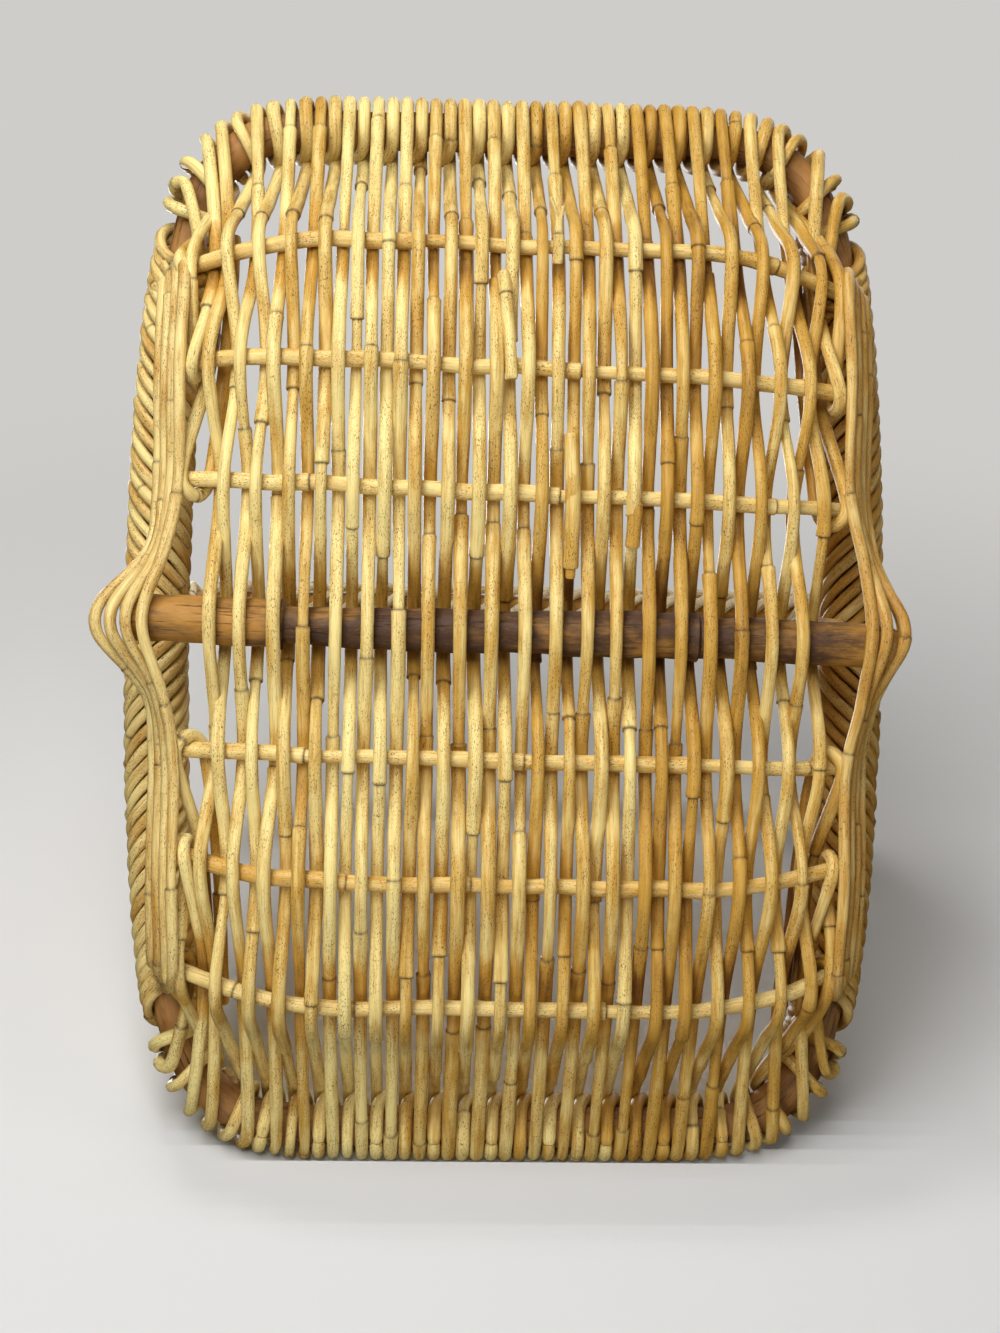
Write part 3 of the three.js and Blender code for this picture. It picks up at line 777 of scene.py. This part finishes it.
def beside_rib(station, y, face, x_side, y_side, away=0.0):
    """Where a short row passes a rib: face is 1 inside the basket and -1 under the base."""
    middle, square = rib_middle(x_side * station, y_side * y)
    return middle + square * face * (SHORT_RADIUS + away)


def corner_ring(beyond, angle, x_side, y_side):
    """A point on a loop that lies beyond the loops of the forty passes."""
    number = PASSES - 1 + beyond if y_side > 0 else -beyond
    return ring_round(loop_frame(number, x_side), CORNER_RADIUS, angle)


def short_row_places(x_side, y_side):
    """From the corner to the second rib and back, then to the end rib and back."""
    sides = (x_side, y_side)
    places = []
    for angle in (145, 110, 70, 10, -50):
        places.append(corner_ring(1.3 - 0.4 * ease(angle, -60, 60), angle, *sides))
    places.append(beside_rib(END_RIB, 161.5, 1, *sides))
    places += round_rib(SECOND_RIB, (163, 169), -1, *sides)
    places.append(beside_rib(END_RIB, 165, -1, *sides))
    for angle in np.linspace(130, -410, 19):
        places.append(corner_ring(2.2 + 1.2 * sideways(80 - angle, 0.6), angle, *sides))
    places += round_rib(END_RIB, (168.5, 171), 1, *sides)
    for angle in (130, 70, 10, -50, -110, -170, -210):
        places.append(corner_ring(4.1 + 0.5 * ease(-angle, -60, 60), angle, *sides))
    return places


def first_rib_turn(x_side, y_side):
    """A turn round the rib beside the thick stick. Both ends run back inside, above the other rows."""
    sides = (x_side, y_side)
    way_in, way_out = ([
        beside_rib(END_RIB, y, 1, *sides, away=11) + (x_side * 24, 0, 9),
        beside_rib(SECOND_RIB, y, 1, *sides, away=9),
    ] for y in (157, 166))
    return way_in + round_rib(FIRST_RIB, (161, 168), 1, *sides) + way_out[::-1]


print(f"a short row goes through {len(short_row_places(1, 1))} places")


# %% Weave the ten canes of the base
def base_tone_and_shade(base):
    """Darker towards +Y and in some single passes, with painted shade on the canes inside the basket."""
    def tone(point):
        number = round(point[1] / PITCH + 0.5)
        single = noise.noise(Vector((number * 0.83, 4.7, base * 9)))
        depth = point[2] - rib_lift(point[1])[0]
        # painted shade: canes that lie above the base, inside the basket, get a higher tone and come out
        # darker and browner, as if in shadow
        inside = ease(depth, 14, 36) * (1 - ease(abs(point[0]), 175, 225))
        return base + 0.02 + 0.36 * (0.5 + point[1] / 340) + 0.34 * single + 0.6 * inside
    return tone


# Where one cane ends and the next begins, an end lies loose in front of the weave. Each
# rod of such an end has its places, its width and its tone. One end is split at its tip.
SECOND_RIB_END = [(181, -8.5, 17.5), (170, -7.5, 12.5), (152, -6, 8), (138, -5, 4.6), (125, -4.3, 4.2)]
SPLIT_END = [(187, 19.4, 22.3), (197, 19.6, 20.6), (211, 19.3, 20)]
LONG_SPLINTER = [(209, 18.2, 19.6), (214, 17.4, 18.2), (220, 14.6, 16)]
SHORT_SPLINTER = [(209, 20.6, 19.8), (216, 21.6, 18.6)]
FIRST_RIB_END = [(98, 26.6, 6.8), (84, 27.2, 5.2), (68, 27.8, 4.5), (50, 27.8, 5.2), (30, 27.6, 8.2)]
FIRST_RIB_TIP = [(31, 27.6, 8), (25, 27.5, 9.2)]
SHORT_END = [(64, 59.6, 4.6), (54, 59.4, 5.4), (41, 58.6, 7.4)]
LOOSE_ENDS = {
    4: [(SECOND_RIB_END, 7.0, 0.25)],
    5: [
        (SPLIT_END, 5.6, 0.15), (LONG_SPLINTER, 2.4, 0.15), (SHORT_SPLINTER, 2.0, 0.15),
        (FIRST_RIB_END, 8.1, 0.45), (FIRST_RIB_TIP, 5.0, 0.6),
    ],
    6: [(SHORT_END, 8.0, 0.6)],
}


def make_base_cane(cane):
    """Weaves one cane, the first and the last one with their short rows, and returns its length."""
    rng = random.Random(100 + cane)
    first = cane * PASSES_PER_CANE
    last = first + PASSES_PER_CANE - 1
    if first == 0:
        places = tucked_places(first, [145, 110, 70, 10, -50])
    else:
        places = split_turn(turn_places(first, -1, -1))[0][::-1]
    for number in range(first, last + 1):
        along = pass_places(number, rng)
        places += along if number % 2 == 0 else along[::-1]
        if number % 2 == 0:
            places += turn_places(number, 1, 1)
        elif number < last:
            places += turn_places(number + 1, -1, -1)[::-1]
    if last == PASSES - 1:
        places += tucked_places(last, [160, 130, 70, 10, -50, -90])
    else:
        places += split_turn(turn_places(last + 1, -1, -1))[1][::-1]
    rods = start_rods()
    tone = base_tone_and_shade(rng.uniform(-0.05, 0.2))
    length = add_cane(rods, places, CANE * rng.uniform(0.93, 1.03), rng, tone)
    for loose, width, look in LOOSE_ENDS.get(cane, []):
        add_cane(rods, loose, width, rng, look, step=1)
    if cane in (0, PASSES // PASSES_PER_CANE - 1):
        y_side = 1 if cane else -1
        for x_side in (-1, 1):
            for short in (short_row_places(x_side, y_side), first_rib_turn(x_side, y_side)):
                length += add_cane(rods, short, SHORT_CANE, rng, tone)
    node = f"base_cane_{cane + 1}"
    finish_rods(rods, f"woven_cane_{cane + 1}", [base_cane_look, cane_cut], [node])
    return length


total = sum(make_base_cane(cane) for cane in range(PASSES // PASSES_PER_CANE))
print(f"the base took {total / 1000:.1f} m of cane")

# %% [markdown]
# ## The canes along the sides
#
# Four thin canes run along each side below the rim. They pass the tips of the ribs
# and spread over the end of the thick stick, where they bulge out of the basket. At
# both ends they rise to the rim and go once round it, between the loops of the weave
# and the winding of the side bar.


# %% Places of the side canes
SIDE_LOOP_RADIUS = RIM_RADIUS + SIDE_CANE / 2 + 0.4
FIRST_SIDE_LOOP = loop_distance(PASSES - 1 + 4.3) + 9


def side_cane_places(index, y_side):
    """From the loop at one corner past the ribs and the thick stick to the other corner."""
    spread = SIDE_CANE + 0.8
    tip_y = RIB_TIP + 3.5 + SIDE_CANE / 2
    tip_height = RIB_HEIGHT + RIB_LIFT
    along = (index - 1.5) * spread
    stick_under = STICK_HEIGHT - STICK_RADIUS - SIDE_CANE / 2 - 0.3
    over_end = STICK_LENGTH / 2 + SIDE_CANE / 2 + 0.3
    steps = index - 2
    if y_side < 0:
        at_stick = (0, over_end - 12 + index * 8, stick_under + max(index - 1, 0) * 5)
    elif index < 2:
        at_stick = (0, over_end + steps * spread - SIDE_CANE / 2, stick_under)
    else:
        at_stick = (0, over_end, stick_under + (steps + 1) * spread)
    wall = [
        (37, over_end * 0.2 + tip_y * 0.8, (stick_under + tip_height + spread) / 2),
        (FIRST_RIB, tip_y, tip_height),
        (SECOND_RIB, tip_y, tip_height),
        (181, tip_y, tip_height + END_RIB_RISE),
    ]
    rng = random.Random(350 + index + 10 * y_side)
    places = [np.array(at_stick) + (6, 0, 0)]
    for j, middle in enumerate(wall):
        before, after = wall[max(j - 1, 0)], wall[min(j + 1, 3)]
        way = np.array([after[0] - before[0], after[2] - before[2]], float)
        way /= np.linalg.norm(way)
        across = np.array([0, 0.45, 0.893]) if j == 0 else np.array([-way[1], 0, way[0]])
        outward = np.array([0, 0.55 * along if j else 0, 0])
        places.append(np.array(middle) + across * (along + rng.uniform(-1, 1)) + outward)
    for angle in range(-70, 256, 32):
        distance = FIRST_SIDE_LOOP + index * SIDE_LOOP_PITCH + 24 * (1 - ease(angle, -100, 70))
        places.append(ring_round(rim_frame(outer_line, distance, 1, 1), SIDE_LOOP_RADIUS, angle))
    lower_half = [place * (-1, y_side, 1) for place in places[::-1]]
    return lower_half + [place * (1, y_side, 1) for place in places]


def make_side_canes(side, y_side):
    for index in range(SIDE_CANES):
        rng = random.Random(300 + index + 10 * y_side)
        rods = start_rods()
        tone = 0.2 if y_side < 0 else 0.42
        add_cane(rods, side_cane_places(index, y_side), SIDE_CANE, rng, tone + rng.uniform(-0.1, 0.1))
        name, node = f"side_band_{side}_{index + 1}", f"side_cane_{side}_{index + 1}"
        finish_rods(rods, name, [side_cane_look, cane_cut], [node])


make_side_canes("left", -1)
make_side_canes("right", 1)

# %% [markdown]
# ## The winding of the side bars
#
# Nine thin canes are laid side by side and wound round each side bar together, like
# the strands of a rope. From the middle of the bar the winding leans the other way.


# %% Wind the side bars
WRAP_RADIUS = RIM_RADIUS + WRAP_CANE / 2 + 0.4
WRAP_REACH = WRAP_RADIUS + WRAP_CANE / 2


def wrap_places(start, y_side):
    """Places round a side bar, from the loops at one corner to the loops at the other."""
    loops_end = FIRST_SIDE_LOOP + (SIDE_CANES - 0.5) * SIDE_LOOP_PITCH
    corner_x = np.interp(loops_end, outer_line["run"], outer_line["x"])
    corner_stop = np.interp(-corner_x, -middle_line["x"], middle_line["run"])
    reach = quarter_length - corner_stop - 1
    places = []
    for along in np.linspace(-reach, reach, 2 * round(12 * reach / WRAP_TURN) + 1):
        place = rim_frame(middle_line, quarter_length - abs(along), math.copysign(1, along), y_side)
        angle = 360 * (start / WRAP_STARTS + abs(along) / WRAP_TURN)
        places.append(ring_round(place, WRAP_RADIUS, angle))
    return places


def make_wraps(side, y_side):
    for start in range(WRAP_STARTS):
        rng = random.Random(400 + start + 20 * y_side)
        rods = start_rods()
        width = WRAP_CANE * rng.uniform(0.93, 1.02)
        tone = (0.2 if y_side < 0 else 0.5) + rng.uniform(-0.15, 0.15)
        add_cane(rods, wrap_places(start, y_side), width, rng, tone)
        name, node = f"side_winding_{side}_{start + 1}", f"rim_wrap_{side}_{start + 1}"
        finish_rods(rods, name, [wrap_cane_look, cane_cut], [node])


make_wraps("left", -1)
make_wraps("right", 1)


# %% [markdown]
# ## The handle
#
# A bent stick rises inside the rim from the thick stick, leans out over the rim and
# arches across the basket. Above the rim four canes are wound round it like a rope.


# %% The bow and its winding
def bow_path():
    """From the thick stick up inside the winding of the rim, over the basket and down again."""
    # How far the winding of the solid rim reaches, and how far out the wound bow is clear of it
    winding_reach, clear, gap = 19.8, 35.8, 0.3
    inside_rim = RIM_WIDTH / 2 - winding_reach - BOW_RADIUS - gap
    foot, arch = STICK_HEIGHT + STICK_RADIUS + 1, HANDLE_TOP - HANDLE_WIDEST_HEIGHT
    half = [
        (inside_rim + 6, foot),
        (inside_rim, RIM_RISE),
        (RIM_WIDTH / 2 - clear * 0.5, RIM_RISE + clear * 0.9),
        (HANDLE_WIDEST * 0.49, RIM_RISE + 0.64 * (HANDLE_WIDEST_HEIGHT - RIM_RISE)),
        (HANDLE_WIDEST * 0.5, HANDLE_WIDEST_HEIGHT),
        (HANDLE_WIDEST * 0.45, HANDLE_WIDEST_HEIGHT + 0.55 * arch),
        (HANDLE_WIDEST * 0.32, HANDLE_WIDEST_HEIGHT + 0.87 * arch),
        (HANDLE_WIDEST * 0.16, HANDLE_WIDEST_HEIGHT + 0.975 * arch),
    ]
    other = [(-y, z) for y, z in half][::-1]
    places = half + [(0, HANDLE_TOP)] + other
    return smooth_path([(HANDLE_LEAN * (z - foot) / (HANDLE_TOP - foot), y, z) for y, z in places], 4)


def make_handle():
    path = bow_path()
    rods = start_rods()
    add_cane(rods, path[::4], 2 * BOW_RADIUS, random.Random(7), 0.6, step=4, sides=16)
    finish_rods(rods, "handle_bow_stick", [side_cane_look, cane_cut], ["handle_bow"])
    run = np.arange(len(path)) * np.linalg.norm(path[1] - path[0])
    along = np.gradient(path, axis=0)
    along /= np.linalg.norm(along, axis=1)[:, None]
    side = np.cross(along, (1, 0, 0))
    side /= np.linalg.norm(side, axis=1)[:, None]
    front = np.cross(side, along)
    middle = run[-1] / 2
    radius = BOW_RADIUS + HANDLE_CANE / 2 + GAP
    reach = middle - (RIM_RISE + WRAP_REACH + 12 - STICK_HEIGHT)
    for start in range(HANDLE_STARTS):
        rng = random.Random(500 + start)
        places = []
        for s in np.arange(-reach, reach, HANDLE_TURN / 12):
            angle = 2 * math.pi * (start / HANDLE_STARTS + s / HANDLE_TURN)
            centre, out, over = (np.array([np.interp(middle + s, run, values[:, k]) for k in range(3)])
                                 for values in (path, side, front))
            places.append(centre + (out * math.cos(angle) + over * math.sin(angle)) * radius)
        rods = start_rods()
        add_cane(rods, places, HANDLE_CANE, rng, rng.uniform(0.0, 0.3))
        name, node = f"handle_winding_{start + 1}", f"handle_wrap_{start + 1}"
        finish_rods(rods, name, [handle_cane_look, cane_cut], [node])


make_handle()


# %% [markdown]
# ## Floor, light and camera
#
# The basket was photographed standing on one end and leaning back, from the side of
# its base. The camera looks at the base from about 1.2 m, so the floor of that view
# slopes behind the basket. It is made of many small level treads that face down: they
# show only from below, and all other views have a plain level floor instead.


# %% The two floors
BACKDROP = (0.62, 0.61, 0.59, 1.0)
SLOPE_X, SLOPE_Z = 0.870, 0.492


def floor_material(name, normal=None):
    """A pale floor for the camera alone, seen from one side."""
    material, tree = material_tree(name)
    n = Nodes(tree)
    shade = n.make("ShaderNodeBsdfDiffuse", {"Color": (0.86, 0.85, 0.83, 1.0)})
    if normal:
        vector = n.make("ShaderNodeCombineXYZ", {0: normal[0], 1: normal[1], 2: normal[2]})
        tree.links.new(vector.outputs[0], shade.inputs["Normal"])
    place = n.make("ShaderNodeTexCoord").outputs["Object"]
    far = n.make("ShaderNodeVectorMath", {0: place}, operation="LENGTH").outputs["Value"]
    haze = n.make("ShaderNodeEmission", {"Color": BACKDROP, "Strength": 1.0})
    away = n.ramp(far, 0.45, 1.1)
    shade = n.make("ShaderNodeMixShader", {0: away, 1: shade.outputs[0], 2: haze.outputs[0]})
    clear = n.make("ShaderNodeBsdfTransparent")
    back = n.make("ShaderNodeNewGeometry").outputs["Backfacing"]
    camera_ray = n.make("ShaderNodeLightPath").outputs["Is Camera Ray"]
    hidden = n.math("MAXIMUM", back, n.math("SUBTRACT", 1.0, camera_ray))
    mix = n.make("ShaderNodeMixShader", {0: hidden, 1: shade.outputs[0], 2: clear.outputs[0]})
    out = n.make("ShaderNodeOutputMaterial")
    tree.links.new(mix.outputs[0], out.inputs["Surface"])
    return material


def add_stage(name, bm, material):
    mesh = bpy.data.meshes.new(name)
    bm.to_mesh(mesh)
    bm.free()
    mesh.materials.append(material)
    stage = bpy.data.objects.new(name, mesh)
    bpy.context.scene.collection.objects.link(stage)
    stage.visible_shadow = False


def make_floors():
    level = bmesh.new()
    just_below = Matrix.Translation((0, 0, -0.0005))
    bmesh.ops.create_grid(level, x_segments=1, y_segments=1, size=4.0, matrix=just_below)
    add_stage("floor", level, floor_material("Pale floor"))
    slope = bmesh.new()
    tread = 0.006
    for i in range(-160, 330):
        x = -0.349 + i * tread
        z = (SLOPE_X * x + 0.304) / SLOPE_Z
        near = x - tread * 1.5
        corners = [(near, -2, z), (near, 2, z), (x + tread, 2, z), (x + tread, -2, z)]
        bmesh.ops.contextual_create(slope, geom=[slope.verts.new(corner) for corner in corners])
    bmesh.ops.reverse_faces(slope, faces=[face for face in slope.faces if face.normal.z > 0])
    add_stage("sloping_floor", slope, floor_material("Pale slope", (SLOPE_X, 0.0, -SLOPE_Z)))


make_floors()
print("two floors are laid")


# %% Light
def add_light(name, place, target, size, power):
    light = bpy.data.lights.new(name, "AREA")
    light.energy, light.size = power, size
    lamp = bpy.data.objects.new(name, light)
    bpy.context.scene.collection.objects.link(lamp)
    lamp.location = place
    lamp.rotation_euler = (Vector(target) - Vector(place)).to_track_quat("-Z", "Y").to_euler()


def make_world():
    world = bpy.data.worlds.new("Pale studio")
    bpy.context.scene.world = world
    world.use_nodes = True
    tree = world.node_tree
    tree.nodes.clear()
    n = Nodes(tree)
    camera_ray = n.make("ShaderNodeLightPath").outputs["Is Camera Ray"]
    seen = n.make("ShaderNodeBackground", {"Color": BACKDROP, "Strength": 1.0})
    glow = n.make("ShaderNodeBackground", {"Color": (0.9, 0.95, 1.0, 1.0), "Strength": 0.03})
    mix = n.make("ShaderNodeMixShader", {0: camera_ray, 1: glow.outputs[0], 2: seen.outputs[0]})
    out = n.make("ShaderNodeOutputWorld")
    tree.links.new(mix.outputs[0], out.inputs["Surface"])


make_world()
add_light("Key from below", (0.75, -0.45, -1.3), (0, 0, 0.05), 1.1, 29)
add_light("Low key", (1.35, -0.3, -0.42), (0, 0, 0.2), 0.3, 8)
add_light("Fill from below", (-1.1, -0.3, -0.8), (0, 0, 0.05), 0.6, 6)
add_light("Fill from the right", (-0.1, 1.3, -0.8), (0, 0.1, 0.1), 0.5, 4)
add_light("Key from above", (0.3, -0.6, 1.9), (0, 0, 0.05), 0.6, 20)
add_light("Fill from above", (1.1, 0.7, 1.2), (0, 0, 0.05), 1.4, 10)
print("lamps:", len(bpy.data.lights))


# %% Camera
def make_camera():
    camera = bpy.data.cameras.new("Camera")
    camera.sensor_width = 36
    camera.lens = 65.6
    camera.clip_start, camera.clip_end = 0.05, 20
    view = bpy.data.objects.new("Camera", camera)
    bpy.context.scene.collection.objects.link(view)
    right, up, forward = (Vector(v).normalized() for v in (
        (0.0164, 0.9987, -0.0479), (0.9999, -0.0166, -0.0027), (0.0035, 0.0479, 0.9988)))
    turn = Matrix((right, up, -forward)).transposed().to_4x4()
    view.matrix_world = Matrix.Translation((-0.0246, -0.0665, -1.2213)) @ turn
    bpy.context.scene.camera = view


make_camera()
bpy.context.scene.view_settings.view_transform = "Standard"
print("the camera is", [round(value, 3) for value in bpy.context.scene.camera.matrix_world.translation])
